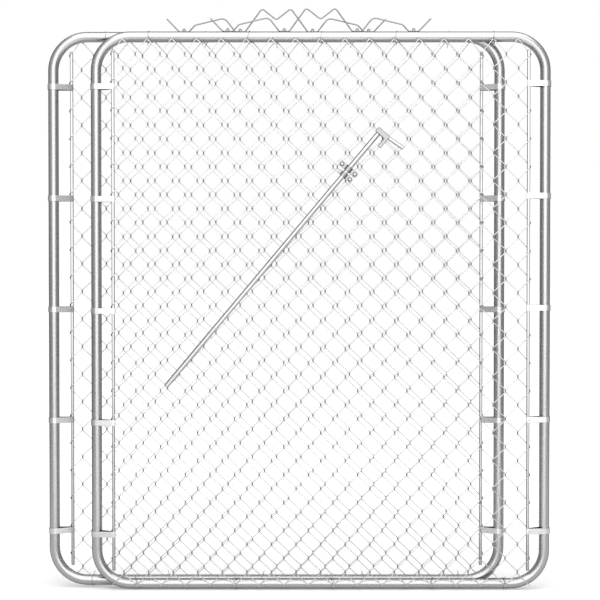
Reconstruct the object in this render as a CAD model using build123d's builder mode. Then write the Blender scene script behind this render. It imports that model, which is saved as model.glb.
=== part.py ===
from build123d import *
from math import atan2, cos, radians, sin, sqrt
import os

# Double driveway gate of galvanised steel, its two leaves nested face to back.
# Each leaf is one tube bent into a frame, with chain link stretched across its face
# and a bent wire ornament on its top rail. A drop rod lies across the front leaf.
# X runs along the leaves, Y away from the front and Z up. The origin is on the axis
# of the back leaf's left stile, at the height of its lower hinge.

os.makedirs("parts", exist_ok=True)

# Leaf frame
leaf_width = 1490.0
leaf_height = 1810.0
tube_diameter = 33.4
tube_wall = 1.65
corner_radius = 110.0
seam_gap = 0.4
splice_length = 120.0
splice_wall = 1.5
hinge_height = 250.0

# Clearances
seat = 0.3
rod_play = 0.5

# How the two leaves nest
nest_shift = 144.0
nest_drop = 4.0

# Chain link fabric and its tension bars, which its end wires turn round
wire_diameter = 2.9
mesh_size = 59.8
mesh_half_width = 39.8
fabric_top_margin = 30.0
fabric_bottom_margin = 11.0
bar_inset = 73.4
bar_width = 10.0
bar_thickness = 4.8
bar_turn = 2.0
bar_end_margin = 61.5

# Bands that hold the tension bars to the stiles
band_count = 5
band_width = 19.0
band_thickness = 1.6
band_pitch = 363.0
front_right_band_lift = 10.5

# Wire ties that hold the fabric to the rails, each at the mesh point nearest its place
tie_diameter = 2.5
top_ties = (-555.0, -240.0, 0.0, 240.0, 555.0)
bottom_ties = (-595.0, -280.0, 40.0, 355.0, 595.0)
tie_reach = 10.0

# Wire ornament, right half from the middle outwards: place along the rail, height above its feet
ornament_wire = 4.5
dip_height = 38.0
dip_bend = 10.0
peak_place = 47.0
peak_height = 75.0
peak_bend = 9.0
inner_foot = 118.0
foot_length = 33.0
foot_bend = 10.0
arch_place = 169.0
arch_height = 44.0
arch_bend = 22.0
shoulder_place = 265.0
shoulder_height = 21.0
shoulder_bend = 14.0
outer_foot = 301.0
tip_place = 357.0
tip_height = 41.0
foot_width = 8.0
foot_thickness = 2.2
foot_screw_hole = 2.4

# Drop rod, measured along the rod from its lower tip
rod_diameter = 15.88
rod_length = 1083.0
rod_chamfer = 2.5
rod_tip_left = 501.0
rod_tip_below = 244.0
rod_slope = 49.96
handle_diameter = 13.0
handle_reach = 93.0
handle_inset = 9.0
handle_lean = 5.7
handle_chamfer = 2.0
catch_thickness = 4.0
catch_arm_width = 18.0
catch_left = 12.0
catch_right = 36.0
catch_tine_width = 11.5
catch_tine_length = 50.0

# Clamps of the rod: place along it, width, reach to its upper left and lower right, bolts
clamp_thickness = 2.5
clamp_bolt = 7.9
clamp_bolt_play = 0.3
clamp_corner = 4.0
lower_clamp = (894.5, 15.0, 20.0, 34.0, (-24.5,))
upper_clamp = (917.5, 18.0, 36.0, 36.0, (-26.5, 26.5))

# Worked out from the sizes above
tube_radius = tube_diameter / 2
stile_x = leaf_width / 2 - tube_radius
rail_y = leaf_height / 2 - tube_radius
fabric_front = tube_radius + seat + 2 * wire_diameter
bar_x = leaf_width / 2 - bar_inset
fabric_edge = bar_x + bar_width / 2 + bar_turn
nest_depth = tube_diameter + 2 * seat + tie_diameter

back_leaf = Plane(
    origin=(stile_x, 0, leaf_height / 2 - hinge_height), x_dir=(-1, 0, 0), z_dir=(0, 1, 0)
)
front_leaf = Plane(
    origin=back_leaf.origin + Vector(nest_shift, -nest_depth, -nest_drop),
    x_dir=(1, 0, 0),
    z_dir=(0, -1, 0),
)


def write(part, name):
    """Label one finished piece and write its file."""
    part.label = name
    export_step(part, f"parts/{name}.step")


def bent_frame():
    """One tube bent round four corners, its ends meeting at the middle of the bottom rail."""
    with BuildPart() as frame:
        with BuildLine() as run:
            FilletPolyline(
                (seam_gap / 2, -rail_y),
                (stile_x, -rail_y),
                (stile_x, rail_y),
                (-stile_x, rail_y),
                (-stile_x, -rail_y),
                (-seam_gap / 2, -rail_y),
                radius=corner_radius,
            )
        with BuildSketch(Plane(origin=run.line @ 0, z_dir=run.line % 0)):
            Circle(tube_radius)
            Circle(tube_radius - tube_wall, mode=Mode.SUBTRACT)
        sweep()
    return frame.part


def splice_sleeve():
    """Short tube inside the seam, which the two ends of the frame are pressed over."""
    sleeve_radius = tube_radius - tube_wall - seat
    seam = Plane(origin=(0, -rail_y, 0), z_dir=(1, 0, 0))
    with BuildPart() as sleeve:
        with BuildSketch(seam):
            Circle(sleeve_radius)
            Circle(sleeve_radius - splice_wall, mode=Mode.SUBTRACT)
        extrude(amount=splice_length / 2, both=True)
    return sleeve.part


def fabric_columns():
    """Number of wires from one edge of the fabric to the other, even so that both edges match."""
    return 2 * round(fabric_edge / mesh_half_width)


def fabric_rows():
    """Number of half meshes from the top knuckles to the bottom points, always odd."""
    half_mesh = mesh_size * mesh_half_width / sqrt(4 * mesh_half_width**2 - mesh_size**2)
    reach = leaf_height - fabric_top_margin - fabric_bottom_margin
    return 2 * round((reach / half_mesh - 1) / 2) + 1


column_pitch = 2 * fabric_edge / fabric_columns()
fabric_top = leaf_height / 2 - fabric_top_margin
fabric_bottom = -leaf_height / 2 + fabric_bottom_margin
row_pitch = (fabric_top - fabric_bottom) / fabric_rows()


def fabric_half(side):
    """Half of one leaf's chain link: wires that cross in diamonds, left open at top and bottom."""
    edge = bar_x - bar_width / 2 - seat
    opening_width = column_pitch - wire_diameter / 2 / sin(atan2(row_pitch, column_pitch))
    opening_height = opening_width * row_pitch / column_pitch
    openings = [
        (side * column * column_pitch, fabric_top - row * row_pitch)
        for row in range(fabric_rows() + 1)
        for column in range(fabric_columns() // 2 + 1)
        if (column + row + fabric_columns() // 2) % 2 == 0
    ]
    with BuildPart() as half:
        with BuildSketch(Plane.XY.offset(fabric_front)):
            with Locations((side * edge / 2, (fabric_top + fabric_bottom) / 2)):
                Rectangle(edge, fabric_top - fabric_bottom)
            with Locations(*openings):
                Polygon(
                    (-opening_width, 0),
                    (0, -opening_height),
                    (opening_width, 0),
                    (0, opening_height),
                    mode=Mode.SUBTRACT,
                )
        extrude(amount=-2 * wire_diameter)
    return half.part


def tension_bar(side):
    """Flat bar threaded through the last meshes of the fabric."""
    with BuildPart() as bar:
        with BuildSketch(Plane.XY.offset(fabric_front - wire_diameter + bar_thickness / 2)):
            with Locations((side * bar_x, 0)):
                Rectangle(bar_width, leaf_height - 2 * bar_end_margin)
        extrude(amount=-bar_thickness)
        fillet(bar.edges().filter_by(Axis.Z), bar_width / 4)
    return bar.part


def band(side, height):
    """Formed strap round the stile whose two legs grip the tension bar."""
    across = Plane(
        origin=(side * stile_x, height - band_width / 2, 0), x_dir=(-side, 0, 0), z_dir=(0, 1, 0)
    )
    bar_from_stile = stile_x - bar_x
    bar_depth = side * (fabric_front - wire_diameter)
    with BuildPart() as strap:
        with BuildSketch(across):
            Circle(tube_radius + seat)
            with Locations((bar_from_stile, bar_depth)):
                Rectangle(bar_width, bar_thickness + 2 * seat)
            make_hull()
            offset(amount=band_thickness, kind=Kind.ARC)
            with BuildSketch(mode=Mode.SUBTRACT):
                Circle(tube_radius + seat)
                with Locations((bar_from_stile, bar_depth)):
                    Rectangle(bar_width, bar_thickness + 2 * seat)
                make_hull()
            with Locations((bar_from_stile + bar_width / 2, 0)):
                Rectangle(
                    bar_width, leaf_width, align=(Align.MIN, Align.CENTER), mode=Mode.SUBTRACT
                )
        extrude(amount=band_width)
    return strap.part


def mesh_point(place, level):
    """The end of the fabric's wires nearest a place along the top (1) or bottom (-1) rail."""
    shift = 1 if (fabric_columns() // 2 + (0 if level > 0 else fabric_rows())) % 2 == 0 else 0
    return (2 * round((place / column_pitch - shift) / 2) + shift) * column_pitch


def rail_ties(level):
    """Wire ties along one rail, each looped round the tube and through the mesh it holds."""
    mesh_end = fabric_top - rail_y if level > 0 else fabric_bottom + rail_y
    hook_middle = mesh_end + level * (seat - tie_reach) / 2
    depth = fabric_front + seat - tube_radius
    middle = tube_radius + depth / 2
    with BuildPart() as ties:
        for wanted in top_ties if level > 0 else bottom_ties:
            place = mesh_point(wanted, level) - tie_diameter / 2
            across = Plane(origin=(place, level * rail_y, 0), x_dir=(0, 0, 1), z_dir=(1, 0, 0))
            with BuildSketch(across):
                Circle(tube_radius + seat)
                with Locations((middle, -hook_middle)):
                    Rectangle(depth, tie_reach + seat)
                make_hull()
                offset(amount=tie_diameter, kind=Kind.ARC)
                with BuildSketch(mode=Mode.SUBTRACT):
                    Circle(tube_radius + seat)
                    with Locations((middle, -hook_middle)):
                        Rectangle(depth, tie_reach + seat)
                    make_hull()
            extrude(amount=tie_diameter)
    return ties.part


def ornament():
    """One wire bent into a scroll, pressed flat at four feet that are screwed to the rail."""
    foot = foot_length / 2
    rail_top = leaf_height / 2 + seat
    base = rail_top + foot_thickness / 2
    right = [
        (peak_place, base + peak_height, peak_bend),
        (inner_foot - foot, base, foot_bend),
        (inner_foot + foot, base, foot_bend),
        (arch_place, base + arch_height, arch_bend),
        (shoulder_place, base + shoulder_height, shoulder_bend),
        (outer_foot - foot, base, foot_bend),
        (outer_foot + foot, base, foot_bend),
        (tip_place, base + tip_height, 0),
    ]
    bends = [(-x, y, r) for x, y, r in reversed(right)]
    bends += [(0, base + dip_height, dip_bend)] + right
    feet = [(side * place, 0) for side in (-1, 1) for place in (inner_foot, outer_foot)]
    rail_crest = Plane(origin=(0, rail_top, 0), x_dir=(1, 0, 0), z_dir=(0, 1, 0))
    with BuildPart() as scroll:
        with BuildLine() as run:
            FilletPolyline(*[bend[:2] for bend in bends], radius=[r for x, y, r in bends[1:-1]])
        with BuildSketch(Plane(origin=run.line @ 0, z_dir=run.line % 0)):
            Circle(ornament_wire / 2)
        sweep()
        split(bisect_by=rail_crest)
        with BuildSketch(rail_crest):
            with Locations(*feet):
                SlotOverall(foot_length, foot_width)
        extrude(amount=2 * ornament_wire, mode=Mode.SUBTRACT)
        with BuildSketch(rail_crest):
            with Locations(*feet):
                SlotOverall(foot_length, foot_width)
                Circle(foot_screw_hole, mode=Mode.SUBTRACT)
        extrude(amount=foot_thickness)
    return scroll.part


leaf_pieces = {"frame": bent_frame(), "splice": splice_sleeve(), "ornament": ornament()}
leaf_pieces["ties_top"] = rail_ties(1)
leaf_pieces["ties_bottom"] = rail_ties(-1)
side_pieces = {}
for side in (-1, 1):
    side_pieces["fabric", side] = fabric_half(side)
    side_pieces["bar", side] = tension_bar(side)
    for step in range(band_count):
        height = (step - (band_count - 1) / 2) * band_pitch
        side_pieces[f"band_{step + 1}", side] = band(side, height)

# Both leaves are the same, the back one turned round so that its fabric is behind. Only the
# bands on the front leaf's right stile were set a little higher than the others.
for leaf_name, leaf, facing in (("back_leaf", back_leaf, -1), ("front_leaf", front_leaf, 1)):
    for piece_name, piece in leaf_pieces.items():
        write(leaf.location * piece, f"{leaf_name}_{piece_name}")
    for (piece_name, side), piece in side_pieces.items():
        side_name = "left" if side * facing < 0 else "right"
        lifted = piece_name.startswith("band") and leaf is front_leaf and side > 0
        lift = front_right_band_lift if lifted else 0
        write(leaf.location * Pos(0, lift, 0) * piece, f"{leaf_name}_{side_name}_{piece_name}")

# The rod lies on the back straps of its clamps, which lie on the front leaf's fabric.
rod_radius = rod_diameter / 2
rod_depth = fabric_front + seat + clamp_thickness + rod_play + rod_radius
slope = radians(rod_slope)
rod_tip = front_leaf.from_local_coords((-rod_tip_left, -rod_tip_below, rod_depth))
rod_run = Vector(cos(slope), 0, sin(slope))
rod_plane = Plane(origin=rod_tip, x_dir=rod_run, z_dir=front_leaf.z_dir)

with BuildPart() as drop_rod:
    with BuildSketch(Plane(origin=rod_tip, z_dir=rod_run)):
        Circle(rod_radius)
    extrude(amount=rod_length)
    chamfer(drop_rod.edges().filter_by(GeomType.CIRCLE), rod_chamfer)
write(drop_rod.part, "drop_rod")

# The handle leans a little towards the rod's top, and its near edge stays clear of the rod.
lean = radians(handle_lean)
handle_gap = rod_radius + seat + handle_diameter / 2 * sin(lean)
handle_start = Plane(
    origin=rod_plane.from_local_coords((rod_length - handle_inset, -handle_gap, 0)),
    z_dir=rod_plane.x_dir * sin(lean) - rod_plane.y_dir * cos(lean),
)
with BuildPart() as rod_handle:
    with BuildSketch(handle_start):
        Circle(handle_diameter / 2)
    extrude(amount=handle_reach - handle_gap)
    end_face = rod_handle.faces().sort_by(Axis(handle_start.origin, handle_start.z_dir))[-1]
    chamfer(end_face.edges(), handle_chamfer)
write(rod_handle.part, "rod_handle")

with BuildPart() as rod_catch:
    with BuildSketch(rod_plane.offset(rod_radius + seat)):
        with BuildLine():
            Polyline(
                (rod_length, catch_left),
                (rod_length, -catch_right),
                (rod_length - catch_tine_length, -catch_right),
                (rod_length - catch_tine_length, -catch_right + catch_tine_width),
                (rod_length - catch_arm_width, -catch_right + catch_tine_width),
                (rod_length - catch_arm_width, catch_left),
                close=True,
            )
        make_face()
    extrude(amount=catch_thickness)
    fillet(rod_catch.edges().filter_by(Axis(rod_tip, rod_plane.z_dir)), catch_thickness / 2)
write(rod_catch.part, "rod_catch")

# Each clamp is a strap humped over the rod, bolted through a flat strap behind it.
hump = rod_radius + rod_play
across_rod = Axis(rod_tip, rod_plane.y_dir)
for clamp_name, clamp in (("lower", lower_clamp), ("upper", upper_clamp)):
    place, width, left_reach, right_reach, bolts = clamp
    bolt_points = [(place, bolt) for bolt in bolts]
    section = Plane(
        origin=rod_plane.from_local_coords((place - width / 2, 0, 0)),
        x_dir=rod_plane.y_dir,
        z_dir=rod_run,
    )
    with BuildPart() as front_strap:
        with BuildSketch(section):
            Circle(hump + clamp_thickness)
            with Locations((0, -hump)):
                Rectangle(2 * (hump + clamp_thickness), hump, align=(Align.CENTER, Align.MIN))
            with Locations((-right_reach, -hump)):
                Rectangle(left_reach + right_reach, clamp_thickness, align=(Align.MIN, Align.MIN))
            Circle(hump, mode=Mode.SUBTRACT)
            with Locations((0, -hump)):
                Rectangle(2 * hump, hump, align=(Align.CENTER, Align.MIN), mode=Mode.SUBTRACT)
                Rectangle(3 * hump, hump, align=(Align.CENTER, Align.MAX), mode=Mode.SUBTRACT)
        extrude(amount=width)
        corners = front_strap.edges().filter_by(Axis(rod_tip, rod_plane.z_dir)).group_by(across_rod)
        fillet(corners[0] + corners[-1], clamp_corner)
        with BuildSketch(rod_plane.offset(-hump)):
            with Locations(*bolt_points):
                Circle(clamp_bolt / 2 + clamp_bolt_play)
        extrude(amount=clamp_thickness, mode=Mode.SUBTRACT)
    write(front_strap.part, f"rod_clamp_{clamp_name}_front")
    with BuildPart() as back_strap:
        with BuildSketch(section):
            with Locations((-right_reach, -hump)):
                Rectangle(left_reach + right_reach, clamp_thickness, align=(Align.MIN, Align.MAX))
        extrude(amount=width)
        fillet(back_strap.edges().filter_by(Axis(rod_tip, rod_plane.z_dir)), clamp_corner)
        with BuildSketch(rod_plane.offset(-hump)):
            with Locations(*bolt_points):
                Rectangle(clamp_bolt + clamp_bolt_play, clamp_bolt + clamp_bolt_play)
        extrude(amount=-clamp_thickness, mode=Mode.SUBTRACT)
    write(back_strap.part, f"rod_clamp_{clamp_name}_back")
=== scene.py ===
from math import atan2, cos, pi, radians, sin
import bpy
from mathutils import Matrix, Vector


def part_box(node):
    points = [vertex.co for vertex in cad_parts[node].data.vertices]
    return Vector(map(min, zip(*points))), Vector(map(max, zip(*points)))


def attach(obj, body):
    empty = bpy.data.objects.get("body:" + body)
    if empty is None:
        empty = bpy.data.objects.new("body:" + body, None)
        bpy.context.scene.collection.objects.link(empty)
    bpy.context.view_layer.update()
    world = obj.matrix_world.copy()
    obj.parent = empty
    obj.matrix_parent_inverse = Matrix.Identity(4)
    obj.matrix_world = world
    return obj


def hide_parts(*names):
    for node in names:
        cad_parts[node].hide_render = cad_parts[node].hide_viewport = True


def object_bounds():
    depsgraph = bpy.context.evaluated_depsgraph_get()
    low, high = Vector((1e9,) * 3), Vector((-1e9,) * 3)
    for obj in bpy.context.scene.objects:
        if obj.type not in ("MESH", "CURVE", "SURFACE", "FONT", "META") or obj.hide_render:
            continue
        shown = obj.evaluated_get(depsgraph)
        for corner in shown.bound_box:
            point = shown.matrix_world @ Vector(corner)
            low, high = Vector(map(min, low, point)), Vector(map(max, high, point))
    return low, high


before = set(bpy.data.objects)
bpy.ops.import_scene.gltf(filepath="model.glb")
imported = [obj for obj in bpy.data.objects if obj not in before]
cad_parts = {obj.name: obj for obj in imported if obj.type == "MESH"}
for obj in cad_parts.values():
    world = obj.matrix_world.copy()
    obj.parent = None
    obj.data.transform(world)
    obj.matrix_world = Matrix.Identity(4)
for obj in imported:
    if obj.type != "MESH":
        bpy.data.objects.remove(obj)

cad_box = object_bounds()

# Leaf frames. Each is one round steel tube, bent at four corners and butted at the middle
# of the bottom rail over a short sleeve. It was hot-dip galvanised, so its zinc is a satin
# grey with small crystals and faint clouds where the coat runs thicker.
mm = 0.001
leaves = ("back_leaf", "front_leaf")
zinc_skin = bpy.data.node_groups.new("zinc_skin", "ShaderNodeTree")
for socket, kind, way in (
    ("Tone", "NodeSocketFloat", "INPUT"),
    ("Crystals", "NodeSocketFloat", "INPUT"),
    ("Mottle", "NodeSocketFloat", "INPUT"),
    ("Dullness", "NodeSocketFloat", "INPUT"),
    ("Color", "NodeSocketColor", "OUTPUT"),
    ("Roughness", "NodeSocketFloat", "OUTPUT"),
    ("Height", "NodeSocketFloat", "OUTPUT"),
):
    zinc_skin.interface.new_socket(name=socket, in_out=way, socket_type=kind)


def node(tree, kind, **values):
    """A node with values for its sockets, given by their names with _ for a space."""
    made = tree.nodes.new(kind)
    for socket, value in values.items():
        made.inputs[socket.replace("_", " ")].default_value = value
    return made


def maths(tree, operation, first, second):
    """The result of a Math node with two values, each a number or another node's output."""
    made = tree.nodes.new("ShaderNodeMath")
    made.operation = operation
    for place, value in enumerate((first, second)):
        if isinstance(value, (int, float)):
            made.inputs[place].default_value = value
        else:
            tree.links.new(value, made.inputs[place])
    return made.outputs["Value"]


given = zinc_skin.nodes.new("NodeGroupInput").outputs
result = zinc_skin.nodes.new("NodeGroupOutput")
where = node(zinc_skin, "ShaderNodeTexCoord").outputs["Object"]
crystals = node(zinc_skin, "ShaderNodeTexVoronoi")
clouds = node(zinc_skin, "ShaderNodeTexNoise", Scale=14.0, Detail=5.0)
grain = node(zinc_skin, "ShaderNodeTexNoise", Scale=700.0, Detail=3.0)
for texture in (crystals, clouds, grain):
    zinc_skin.links.new(where, texture.inputs["Vector"])
zinc_skin.links.new(given["Crystals"], crystals.inputs["Scale"])
crystal_grey = node(zinc_skin, "ShaderNodeRGBToBW")
zinc_skin.links.new(crystals.outputs["Color"], crystal_grey.inputs["Color"])

# Crystals and clouds lie about 0.5, so less 1 together they lighten and darken alike.
marks = maths(zinc_skin, "ADD", crystal_grey.outputs["Val"], clouds.outputs["Fac"])
marks = maths(zinc_skin, "SUBTRACT", marks, 1.0)
shade = maths(zinc_skin, "ADD", maths(zinc_skin, "MULTIPLY", marks, given["Mottle"]), 1.0)
grey = maths(zinc_skin, "MULTIPLY", shade, given["Tone"])
blue_cast = 1.015
tinted = node(zinc_skin, "ShaderNodeCombineColor")
zinc_skin.links.new(grey, tinted.inputs["Red"])
zinc_skin.links.new(grey, tinted.inputs["Green"])
zinc_skin.links.new(maths(zinc_skin, "MULTIPLY", grey, blue_cast), tinted.inputs["Blue"])
zinc_skin.links.new(tinted.outputs["Color"], result.inputs["Color"])
duller_marks = 0.12
dull = maths(zinc_skin, "ADD", maths(zinc_skin, "MULTIPLY", marks, duller_marks), given["Dullness"])
zinc_skin.links.new(dull, result.inputs["Roughness"])
zinc_skin.links.new(grain.outputs["Fac"], result.inputs["Height"])


def zinc(name, tone, crystals, mottle, dullness, grain):
    """A zinc finish: its grey, crystals per metre, unevenness, roughness and grain."""
    glancing_tint = (0.05, 0.05, 0.05, 1)
    grain_depth = 0.2 * mm
    finish = bpy.data.materials.new(name)
    finish.use_nodes = True
    tree = finish.node_tree
    shader = tree.nodes["Principled BSDF"]
    shader.inputs["Metallic"].default_value = 1.0
    shader.inputs["Specular Tint"].default_value = glancing_tint
    skin = tree.nodes.new("ShaderNodeGroup")
    skin.name = "zinc_skin"
    skin.node_tree = zinc_skin
    values = {"Tone": tone, "Crystals": crystals, "Mottle": mottle, "Dullness": dullness}
    for socket, value in values.items():
        skin.inputs[socket].default_value = value
    tree.links.new(skin.outputs["Color"], shader.inputs["Base Color"])
    tree.links.new(skin.outputs["Roughness"], shader.inputs["Roughness"])
    grained = node(tree, "ShaderNodeBump", Strength=grain, Distance=grain_depth)
    tree.links.new(skin.outputs["Height"], grained.inputs["Height"])
    tree.links.new(grained.outputs["Normal"], shader.inputs["Normal"])
    return finish


tube_zinc = zinc("tube_zinc", tone=0.36, crystals=190.0, mottle=0.07, dullness=0.28, grain=0.05)
for leaf in leaves:
    for part in ("frame", "splice"):
        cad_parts[f"{leaf}_{part}"].material_slots[0].material = tube_zinc

# Tension bars. Flat galvanised bars threaded through the last meshes of the chain link,
# sheared to length, with their long edges rolled round at the mill.
bar_zinc = zinc("bar_zinc", tone=0.36, crystals=260.0, mottle=0.08, dullness=0.26, grain=0.05)
# The rounded edges' near-black tone is painted shade, for dark lines along the edges.
edge_painted_shade = zinc("edge_painted_shade", tone=0.05, crystals=500.0, mottle=0.15, dullness=0.34, grain=0.1)
bar_easing = 1.9 * mm


def finished(piece, name, finishes, body):
    """Names a finished piece, gives it its materials and says what it moves with."""
    piece.name = name
    for place, finish in enumerate(finishes):
        if place < len(piece.data.materials):
            piece.data.materials[place] = finish
        else:
            piece.data.materials.append(finish)
    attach(piece, body)
    return piece


def eased(part, width, flat, edge, body):
    """A copy of a CAD part with its edges rounded, duller and painted darker as shade, which stands for
    that part.
    """
    piece = bpy.data.objects.new(part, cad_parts[part].data.copy())
    bpy.context.collection.objects.link(piece)
    bpy.ops.object.select_all(action="DESELECT")
    piece.select_set(True)
    bpy.context.view_layer.objects.active = piece
    bpy.ops.mesh.customdata_custom_splitnormals_clear()
    bpy.ops.object.mode_set(mode="EDIT")
    bpy.ops.mesh.select_all(action="SELECT")
    bpy.ops.mesh.remove_doubles(threshold=0.001 * mm)
    bpy.ops.mesh.dissolve_limited(angle_limit=radians(0.5))
    bpy.ops.object.mode_set(mode="OBJECT")
    piece.data.materials.append(edge)
    rounding = piece.modifiers.new("rounding", "BEVEL")
    rounding.width = width
    rounding.segments = 2
    rounding.limit_method = "ANGLE"
    rounding.angle_limit = radians(40)
    rounding.harden_normals = True
    rounding.material = 1
    bpy.ops.object.shade_smooth_by_angle(angle=radians(35))
    bpy.ops.object.modifier_apply(modifier=rounding.name)
    finished(piece, f"{part}_eased", (flat, edge), body)
    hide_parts(part)


for leaf in leaves:
    for side in ("left", "right"):
        eased(f"{leaf}_{side}_bar", bar_easing, bar_zinc, edge_painted_shade, "leaves")

# Bands. Straps pressed from bright pre-galvanised sheet, which hook round the stile and
# hold the tension bar to it. Their cut edges are slightly rounded by the press.
band_zinc = zinc("band_zinc", tone=0.55, crystals=320.0, mottle=0.05, dullness=0.26, grain=0.03)
# The bands' rounded edges are a little darker than the bands, as painted shade along them.
band_edge_painted_shade = zinc("band_edge_painted_shade", tone=0.40, crystals=500.0, mottle=0.1, dullness=0.34, grain=0.1)
bands = 5
band_easing = 0.8 * mm
for leaf in leaves:
    for side in ("left", "right"):
        for number in range(1, bands + 1):
            part = f"{leaf}_{side}_band_{number}"
            eased(part, band_easing, band_zinc, band_edge_painted_shade, "leaves")

# Chain link. Zinc-coated steel wires, each wound into a flat zigzag whose rising legs lie
# in front and falling legs behind, and hooked through its neighbours' folds. At the sides
# the last wires go round the bars. The folds are painted darker, as shade where the wires hook round each
# other.
wire = 2.9 * mm
wire_gap = 0.05 * mm
columns, rows = 34, 39


def middle_of(part):
    """The middle of a CAD part's box."""
    low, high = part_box(part)
    return (low + high) / 2


left_bar, right_bar = middle_of("front_leaf_left_bar"), middle_of("front_leaf_right_bar")
bar_low, bar_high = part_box("front_leaf_left_bar")
half_bar_width = (bar_high.x - bar_low.x) / 2
half_bar_depth = (bar_high.y - bar_low.y) / 2
fabric_low, fabric_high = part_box("front_leaf_left_fabric")
fabric_y = (fabric_low.y + fabric_high.y) / 2
fold_past_bar = half_bar_width + 2.0 * mm
first_column_x = left_bar.x - fold_past_bar
column_width = (right_bar.x + fold_past_bar - first_column_x) / columns
row_height = (fabric_high.z - fabric_low.z) / rows
leg_depth = wire / 2 + wire_gap
# The folds' darker tone is painted shade, where the wires hook round and hide each other.
leg_tone, fold_shade_tone = 0.55, 0.24
painted_fold_shade_reach, unshaded_reach = 2.6 * mm, 10.0 * mm


def woven_zinc(name, top):
    """Wire zinc with painted shade: darker in a narrow band at each row of folds below the fabric's top."""
    finish = zinc(name, tone=leg_tone, crystals=520.0, mottle=0.15, dullness=0.30, grain=0.1)
    tree = finish.node_tree
    height = node(tree, "ShaderNodeSeparateXYZ")
    tree.links.new(node(tree, "ShaderNodeTexCoord").outputs["Object"], height.inputs["Vector"])
    rows_down = maths(tree, "DIVIDE", maths(tree, "SUBTRACT", top, height.outputs["Z"]), row_height)
    # The wires' ends get no painted shade, so they count as half a row away from a fold.
    hooked = maths(tree, "MINIMUM", maths(tree, "MAXIMUM", rows_down, 0.5), rows - 0.5)
    rows_to_fold = maths(tree, "PINGPONG", hooked, 0.5)
    painted_fold_shade = node(tree, "ShaderNodeMapRange", To_Min=fold_shade_tone, To_Max=leg_tone)
    painted_fold_shade.inputs["From Min"].default_value = painted_fold_shade_reach / row_height
    painted_fold_shade.inputs["From Max"].default_value = unshaded_reach / row_height
    tree.links.new(rows_to_fold, painted_fold_shade.inputs["Value"])
    tree.links.new(painted_fold_shade.outputs["Result"], tree.nodes["zinc_skin"].inputs["Tone"])
    return finish


def bent_wire(name, points, thickness):
    """A round wire bent along a line of points, drawn as a path and turned into a mesh."""
    bpy.ops.object.select_all(action="DESELECT")
    bpy.ops.curve.primitive_nurbs_path_add(location=(0, 0, 0))
    path = bpy.context.object
    bpy.ops.object.mode_set(mode="EDIT")
    bpy.ops.curve.select_all(action="SELECT")
    bpy.ops.curve.delete(type="VERT")
    for point in points:
        bpy.ops.curve.vertex_add(location=point)
    bpy.ops.curve.select_all(action="SELECT")
    bpy.ops.curve.spline_type_set(type="POLY")
    bpy.ops.object.mode_set(mode="OBJECT")
    path.data.dimensions = "3D"
    path.data.bevel_depth = thickness / 2
    path.data.bevel_resolution = 2
    path.data.use_fill_caps = True
    bpy.ops.object.convert(target="MESH")
    path.name = name
    bpy.ops.object.shade_smooth_by_angle(angle=radians(60))
    return path


def crossing(number, level):
    """The place where wires cross, at a column from the left and a row from the top."""
    x = first_column_x + number * column_width
    return Vector((x, fabric_y, fabric_high.z - level * row_height))


def placed(corner, side, steps):
    """Steps out past a crossing, towards the back, and up, in mm, set at that crossing."""
    return [corner + Vector((side * out, side * back, up)) * mm for out, back, up in steps]


# The bends of a wire, each from above its crossing to below it: a fold, a fold round a
# tension bar, the knuckles of the top row and the barb of the bottom row.
lean = leg_depth / mm
fold = (
    (-1.2, lean, 5.0),
    (0.8, 0.7 * lean, 2.6),
    (1.4, 0, 0),
    (0.8, -0.7 * lean, -2.6),
    (-1.2, -lean, -5.0),
)
beside_bar = half_bar_depth / mm + 1.6
before_bar = half_bar_width / mm + 3.5
bar_fold = (
    (-before_bar - 8.0, lean, 17.5),
    (-before_bar - 3.5, beside_bar, 12.5),
    (-1.5, beside_bar, 3.6),
    (0.2, 0, 0),
    (-1.5, -beside_bar, -3.6),
    (-before_bar - 3.5, -beside_bar, -12.5),
    (-before_bar - 8.0, -lean, -17.5),
)
right_knuckle = (
    (3.2, lean, -4.5),
    (3.2, lean, 0.5),
    (2.0, 0.3, 5.0),
    (-0.6, -0.6, 7.2),
    (-3.4, -lean, 4.6),
    (-7.5, -lean, -2.5),
)
left_knuckle = ((2.8, -0.2, 0.5), (0.6, -0.7, 3.2), (-2.4, -lean, 2.0), (-6.0, -lean, -4.0))
barb = ((-1.2, lean, 4.8), (0.8, 0.6, 0.8), (2.6, -0.2, -0.8))


def zigzag(name, first, bar_side=0):
    """One wire between two columns of crossings, from its top knuckle to its bottom barb."""
    points = []
    for level in range(rows + 1):
        side = 1 if (first + level) % 2 == 0 else -1
        if level == 0:
            steps = right_knuckle if side > 0 else left_knuckle
        elif level == rows:
            steps = barb
        elif side == bar_side:
            steps = bar_fold
        else:
            steps = fold
        points += placed(crossing(first + (side + 1) // 2, level), side, steps)
    return bent_wire(name, points, wire)


def side_by_side(name, first, count):
    """Copies of one wire, each two columns from the next, as one mesh."""
    wires = zigzag(name, first)
    repeat = wires.modifiers.new("side_by_side", "ARRAY")
    repeat.use_relative_offset = False
    repeat.use_constant_offset = True
    repeat.constant_offset_displace = (2 * column_width, 0, 0)
    repeat.count = count
    bpy.ops.object.modifier_apply(modifier=repeat.name)
    return wires


def joined(name, pieces):
    """Pieces made into one mesh, which the first of them keeps."""
    bpy.ops.object.select_all(action="DESELECT")
    for piece in pieces:
        piece.select_set(True)
    bpy.context.view_layer.objects.active = pieces[0]
    bpy.ops.object.join()
    pieces[0].name = name
    return pieces[0]


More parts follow.
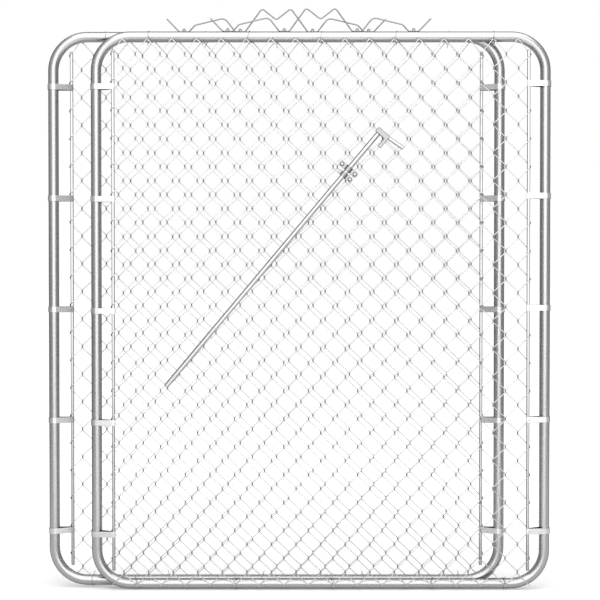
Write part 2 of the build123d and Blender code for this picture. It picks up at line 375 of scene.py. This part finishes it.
def copied(piece, name, shift):
    """A copy with its own mesh, moved inside its mesh so that its object stays at the origin."""
    bpy.ops.object.select_all(action="DESELECT")
    piece.select_set(True)
    bpy.context.view_layer.objects.active = piece
    bpy.ops.object.duplicate()
    twin = bpy.context.object
    twin.name = name
    bpy.ops.object.mode_set(mode="EDIT")
    bpy.ops.mesh.select_all(action="SELECT")
    bpy.ops.transform.translate(value=shift)
    bpy.ops.object.mode_set(mode="OBJECT")
    return twin


middle_column = columns // 2
between = middle_column // 2
left_wires = [
    zigzag("edge", 0, bar_side=-1),
    side_by_side("even", 2, between),
    side_by_side("odd", 1, between),
]
right_wires = [
    zigzag("edge", columns - 1, bar_side=1),
    side_by_side("odd", middle_column, between),
    side_by_side("even", middle_column + 1, between),
]
leaf_shift = middle_of("back_leaf_frame") - middle_of("front_leaf_frame")
leaf_shift.y = middle_of("back_leaf_left_fabric").y - fabric_y
front_wire_zinc = woven_zinc("front_wire_zinc", fabric_high.z)
back_wire_zinc = woven_zinc("back_wire_zinc", fabric_high.z + leaf_shift.z)
for side, wires in (("left", left_wires), ("right", right_wires)):
    front_half = joined("woven", wires)
    back_half = copied(front_half, "woven", leaf_shift)
    for leaf, piece, finish in (
        ("front_leaf", front_half, front_wire_zinc),
        ("back_leaf", back_half, back_wire_zinc),
    ):
        finished(piece, f"{leaf}_{side}_woven", (finish,), "leaves")
        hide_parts(f"{leaf}_{side}_fabric")

# Ties. Short lengths of soft aluminium wire. Each is hooked through the mesh under a
# crossing, taken up over the rail on a slant, brought back beneath and left as a short tail.
tie_wire = 2.5 * mm
tie_gap = 0.15 * mm
tie_bright = zinc("tie_bright", tone=0.40, crystals=600.0, mottle=0.15, dullness=0.3, grain=0.1)
frame_low, frame_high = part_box("front_leaf_frame")
tube_radius = 16.7 * mm

# Measured from the rails' axes: in to the crossings of the end rows, and out to the wires' face.
knuckle_inset = frame_high.z - tube_radius - fabric_high.z
barb_inset = fabric_low.z - frame_low.z - tube_radius
fabric_face = 22.8 * mm
tie_columns = {
    ("front_leaf", "top"): (3, 11, 17, 23, 31),
    ("front_leaf", "bottom"): (2, 10, 18, 26, 32),
    ("back_leaf", "top"): (3, 11, 17, 23, 31),
    ("back_leaf", "bottom"): (2, 8, 16, 24, 32),
}
tie_slants = {"top": (5.0, 24.0, 8.0, 18.0, 6.0), "bottom": (-9.0, 14.0, -12.0, 9.0, -6.0)}


def tie(leaf, level, number, slant):
    """One tie, as a loop across the rail that is drawn sideways by its slant in mm."""
    low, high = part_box(f"{leaf}_frame")
    facing = -1 if leaf == "front_leaf" else 1
    inward = -1 if level == "top" else 1
    rail_z = (high.z - tube_radius) if level == "top" else (low.z + tube_radius)
    rail_y = (low.y + high.y) / 2
    tie_x = crossing(number, 0).x + (leaf_shift.x if leaf == "back_leaf" else 0)
    inset = knuckle_inset if level == "top" else barb_inset
    under_crossing, least_reach = 6.5 * mm, 13.0 * mm
    reach = max(inset + under_crossing, least_reach)
    loop = tube_radius + tie_wire / 2 + tie_gap
    face = fabric_face + tie_wire / 2 + tie_gap
    behind = fabric_face - 2 * wire - tie_wire / 2 - 0.2 * mm
    # Each place is out from the rail's axis, in from it towards the panel, and part of the slant.
    run = [
        (behind, reach + 3.0 * mm, 0.0),
        (face - 3.0 * mm, reach + 1.5 * mm, 0.0),
        (face, reach - 1.5 * mm, 0.05),
        (face, 0.35 * reach, 0.3),
    ]
    loop_start, loop_step, loop_steps = -38.0, 17.5, 13
    for step in range(loop_steps):
        angle = radians(loop_start - step * loop_step)
        run.append((loop * cos(angle), loop * sin(angle), 0.45 + 0.04 * step))
    run += [
        (behind - 4.0 * mm, reach + 2.4 * mm, 0.55),
        (behind + 0.5 * mm, reach + 4.6 * mm, 0.5),
        (face - 1.0 * mm, reach + 7.0 * mm, 0.42),
        (face + 0.1 * mm, reach + 13.0 * mm, 0.3),
    ]
    at_column = 0.2
    points = [
        Vector((tie_x + slant * mm * (along - at_column), rail_y + facing * out, rail_z + inward * down))
        for out, down, along in run
    ]
    return bent_wire("tie", points, tie_wire)


for (leaf, level), numbers in tie_columns.items():
    made = [tie(leaf, level, number, slant) for number, slant in zip(numbers, tie_slants[level])]
    piece = finished(joined("ties", made), f"{leaf}_{level}_wire_ties", (tie_bright,), "leaves")
    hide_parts(f"{leaf}_ties_{level}")

# Scroll. One galvanised wire bent into peaks over the rail and pressed flat at four feet,
# each held to the rail by a hex washer screw with its rubber washer.
scroll_zinc = zinc("scroll_zinc", tone=0.21, crystals=400.0, mottle=0.25, dullness=0.3, grain=0.15)
screw_zinc = zinc("screw_zinc", tone=0.45, crystals=800.0, mottle=0.1, dullness=0.22, grain=0.05)
foot_places = (-301.0, -118.0, 118.0, 301.0)
foot_thickness = 2.5 * mm
washer_outline = ((6.6, 0.1), (6.6, 1.6), (5.6, 2.3), (5.2, 2.4), (5.0, 2.9))
screw_head_outline = ((4.6, 2.6), (5.4, 2.9), (5.4, 7.2), (4.6, 7.8))


def turned(name, place, outline, sides, axis):
    """A solid turned from steps of (radius, height in mm) about an axis through a place."""
    bpy.ops.object.select_all(action="DESELECT")
    radius, height = outline[0]
    bpy.ops.mesh.primitive_circle_add(
        vertices=sides,
        radius=radius * mm,
        fill_type="NGON",
        location=(0, 0, 0),
    )
    solid = bpy.context.object
    solid.name = name
    bpy.ops.object.mode_set(mode="EDIT")
    bpy.ops.transform.translate(value=(0, 0, height * mm))
    for wider, higher in outline[1:]:
        rise = (0, 0, (higher - height) * mm)
        spread = (wider / radius, wider / radius, 1)
        bpy.ops.mesh.extrude_region_move(TRANSFORM_OT_translate={"value": rise})
        bpy.ops.transform.resize(value=spread, center_override=(0, 0, higher * mm))
        radius, height = wider, higher
    bpy.ops.mesh.select_all(action="SELECT")
    bpy.ops.mesh.normals_make_consistent(inside=False)
    bpy.ops.object.mode_set(mode="OBJECT")
    bpy.ops.object.shade_smooth_by_angle(angle=radians(35))
    tilt = Vector(axis).to_track_quat("Z", "Y").to_matrix().to_4x4()
    solid.data.transform(Matrix.Translation(place) @ tilt)
    return solid


def hex_screw(place):
    """A hex screw with its washer under it, standing at a place."""
    up = (0, 0, 1)
    washer = turned("screw", place, washer_outline, 24, up)
    head = turned("head", place, screw_head_outline, 6, up)
    return [washer, head]


for leaf in leaves:
    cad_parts[f"{leaf}_ornament"].material_slots[0].material = scroll_zinc
    low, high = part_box(f"{leaf}_frame")
    foot_top = high.z + foot_thickness
    made = []
    for along in foot_places:
        made += hex_screw(Vector(((low.x + high.x) / 2 + along * mm, (low.y + high.y) / 2, foot_top)))
    finished(joined("screws", made), f"{leaf}_scroll_screws", (screw_zinc,), "leaves")

# Drop rod. A bright zinc-plated round bar with a cross bar and a catch plate welded at its
# top. It slides in two clamps, each of two pressed straps bolted together through the mesh.
rod_zinc = zinc("rod_zinc", tone=0.40, crystals=700.0, mottle=0.12, dullness=0.2, grain=0.06)
clamp_zinc = zinc("clamp_zinc", tone=0.24, crystals=360.0, mottle=0.2, dullness=0.24, grain=0.1)
catch_easing = 1.5 * mm
clamp_easing = 1.1 * mm
for part in ("drop_rod", "rod_handle"):
    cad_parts[part].material_slots[0].material = rod_zinc
eased("rod_catch", catch_easing, clamp_zinc, edge_painted_shade, "drop_rod")
for clamp in ("lower", "upper"):
    for part in ("front", "back"):
        eased(f"rod_clamp_{clamp}_{part}", clamp_easing, clamp_zinc, edge_painted_shade, "leaves")

# Clamp bolts. Carriage bolts, with their domed heads behind the straps and square necks in
# them, and hex nuts in front with a little thread left past the nut.
nut_zinc = zinc("nut_zinc", tone=0.10, crystals=900.0, mottle=0.1, dullness=0.24, grain=0.05)
bolt_zinc = zinc("bolt_zinc", tone=0.42, crystals=900.0, mottle=0.1, dullness=0.2, grain=0.05)
rod_slope = radians(49.96)
up_rod = Vector((cos(rod_slope), 0, sin(rod_slope)))
across_rod = Vector((-sin(rod_slope), 0, cos(rod_slope)))
rod_tip = Vector((371.3, 0, 407.0)) * mm
strap_thickness = 2.5 * mm
back_strap_front, back_strap_back = (corner.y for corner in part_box("rod_clamp_lower_back"))
nut_outline = ((6.4, 0.05), (7.3, 0.6), (7.3, 5.9), (6.3, 6.6), (4.0, 6.6))
thread_outline = ((3.8, 6.0), (3.8, 8.6), (3.2, 9.3))
dome_outline = ((6.2, 0.05), (6.2, 0.6), (5.2, 2.0), (3.2, 3.0), (1.2, 3.4))
bolt_places = ((894.5, -24.5), (917.5, -26.5), (917.5, 26.5))


def clamp_bolt(along, aside):
    """One carriage bolt and its nut, in mm up the rod from its tip and to the side of it."""
    place = rod_tip + up_rod * along * mm + across_rod * aside * mm
    front, back = (0, -1, 0), (0, 1, 0)
    place.y = back_strap_front - strap_thickness
    nut = turned("nut", place, nut_outline, 6, front)
    thread = turned("bolt", place, thread_outline, 16, front)
    place.y = back_strap_back
    dome = turned("head", place, dome_outline, 20, back)
    for piece, finish in ((nut, nut_zinc), (thread, bolt_zinc), (dome, bolt_zinc)):
        piece.data.materials.append(finish)
    return [nut, thread, dome]


made = []
for along, aside in bolt_places:
    made += clamp_bolt(along, aside)
finished(joined("bolts", made), "rod_clamp_bolts", (), "leaves")

# Studio. A white floor and background, soft lamps from in front to overhead, and the camera
# square to the gate. The floor keeps the gate's faint shadow. Black flags at both sides and
# a white pool on the floor in front show only in the metal, as its dark and light lines.
floor_z = cad_box[0][2] - 0.5 * mm
bpy.ops.object.select_all(action="DESELECT")
bpy.ops.mesh.primitive_plane_add(size=160.0, location=(0.8, -2.5, floor_z))
floor = bpy.context.object
floor.name = "floor"
floor_white = bpy.data.materials.new("floor_white")
floor_white.use_nodes = True
shader = floor_white.node_tree.nodes["Principled BSDF"]
shader.inputs["Base Color"].default_value = (0.8, 0.8, 0.8, 1)
shader.inputs["Roughness"].default_value = 1.0
shader.inputs["Specular IOR Level"].default_value = 0.0
shader.inputs["Emission Color"].default_value = (1, 1, 1, 1)


def in_metal(tree):
    """1 for the rays that metal reflects."""
    return node(tree, "ShaderNodeLightPath").outputs["Is Glossy Ray"]


def background_rays(tree):
    """1 for the rays that show the background: straight ones and those in metal and glass."""
    rays = node(tree, "ShaderNodeLightPath").outputs
    shown = maths(tree, "MAXIMUM", rays["Is Camera Ray"], rays["Is Transmission Ray"])
    return maths(tree, "MAXIMUM", shown, in_metal(tree))


def flagged(tree, direction, dark_end, light_end, least):
    """1, but less towards one side for rays seen in metal, as if a black flag stood there."""
    sideways = node(tree, "ShaderNodeSeparateXYZ")
    tree.links.new(direction, sideways.inputs["Vector"])
    flag = node(tree, "ShaderNodeMapRange", From_Min=dark_end, From_Max=light_end, To_Min=least, To_Max=1.0)
    tree.links.new(sideways.outputs["X"], flag.inputs["Value"])
    not_in_metal = maths(tree, "SUBTRACT", 1.0, in_metal(tree))
    return maths(tree, "MAXIMUM", not_in_metal, flag.outputs["Result"])


# The lamps whiten the middle of the floor, and its own glow takes over further out.
tree = floor_white.node_tree
on_floor = node(tree, "ShaderNodeTexCoord").outputs["Object"]
from_middle = node(tree, "ShaderNodeVectorMath")
from_middle.operation = "LENGTH"
tree.links.new(on_floor, from_middle.inputs["Vector"])
outer_glow = node(tree, "ShaderNodeMapRange", From_Min=1.5, From_Max=5.5, To_Min=0.05, To_Max=0.66)
tree.links.new(from_middle.outputs["Value"], outer_glow.inputs["Value"])
from_pool = node(tree, "ShaderNodeVectorMath")
from_pool.operation = "DISTANCE"
from_pool.inputs[1].default_value = (0.3, 0.6, 0)
tree.links.new(on_floor, from_pool.inputs[0])
pool = node(tree, "ShaderNodeMapRange", From_Min=0.8, From_Max=1.5, To_Min=1.0, To_Max=0.0)
tree.links.new(from_pool.outputs["Value"], pool.inputs["Value"])
pool_in_metal = maths(tree, "MULTIPLY", in_metal(tree), pool.outputs["Result"])
brightness = maths(tree, "MAXIMUM", outer_glow.outputs["Result"], pool_in_metal)
left_flag = flagged(tree, on_floor, dark_end=-3.6, light_end=-1.2, least=0.0)
right_flag = flagged(tree, on_floor, dark_end=4.5, light_end=2.0, least=0.3)
glow = maths(tree, "MULTIPLY", background_rays(tree), brightness)
glow = maths(tree, "MULTIPLY", glow, left_flag)
glow = maths(tree, "MULTIPLY", glow, right_flag)
tree.links.new(glow, shader.inputs["Emission Strength"])
floor.data.materials.append(floor_white)

# The world shows white, and lights the gate half as strongly as it shows.
world = bpy.data.worlds.new("studio")
bpy.context.scene.world = world
world.use_nodes = True
tree = world.node_tree
lit_or_shown = node(tree, "ShaderNodeMapRange", To_Min=0.5, To_Max=1.0)
tree.links.new(background_rays(tree), lit_or_shown.inputs["Value"])
towards = node(tree, "ShaderNodeTexCoord").outputs["Generated"]
left_flag = flagged(tree, towards, dark_end=-0.9, light_end=-0.4, least=0.6)
right_flag = flagged(tree, towards, dark_end=0.9, light_end=0.4, least=0.7)
strength = maths(tree, "MULTIPLY", lit_or_shown.outputs["Result"], left_flag)
strength = maths(tree, "MULTIPLY", strength, right_flag)
tree.links.new(strength, tree.nodes["Background"].inputs["Strength"])
tree.nodes["Background"].inputs["Color"].default_value = (1, 1, 1, 1)

front_middle = middle_of("front_leaf_frame")


def softbox(name, place, width, height, brightness):
    """A soft rectangular lamp aimed at the gate, as bright as so many white cards."""
    bpy.ops.object.light_add(type="AREA", location=place)
    box = bpy.context.object
    box.name = name
    box.data.shape = "RECTANGLE"
    box.data.size = width
    box.data.size_y = height
    box.data.energy = brightness * pi * width * height
    box.rotation_euler = (Vector(front_middle) - Vector(place)).to_track_quat("-Z", "Y").to_euler()


softbox("front_softbox", (1.2, -5.9, 1.5), width=7.0, height=3.4, brightness=2.1)
softbox("left_softbox", (-4.2, -3.2, 2.3), width=4.0, height=3.0, brightness=0.2)
softbox("upper_softbox", (0.2, -4.6, 3.9), width=6.4, height=2.2, brightness=2.1)
softbox("top_softbox", (1.1, -1.3, 4.6), width=5.4, height=3.8, brightness=2.2)

# The camera looks a little down, and its view is this wide at the front leaf.
camera_distance = 5.0
camera_tilt = radians(1.15)
view_width = 1.950
aim = Vector((front_middle.x - 67.1 * mm, front_middle.y, front_middle.z + 35.4 * mm))
bpy.ops.object.camera_add(
    location=aim + camera_distance * Vector((0, -cos(camera_tilt), sin(camera_tilt))),
    rotation=(pi / 2 - camera_tilt, 0, 0),
)
camera = bpy.context.object
camera.data.angle = 2 * atan2(view_width / 2, camera_distance)
bpy.context.scene.camera = camera
bpy.context.scene.view_settings.view_transform = "Standard"
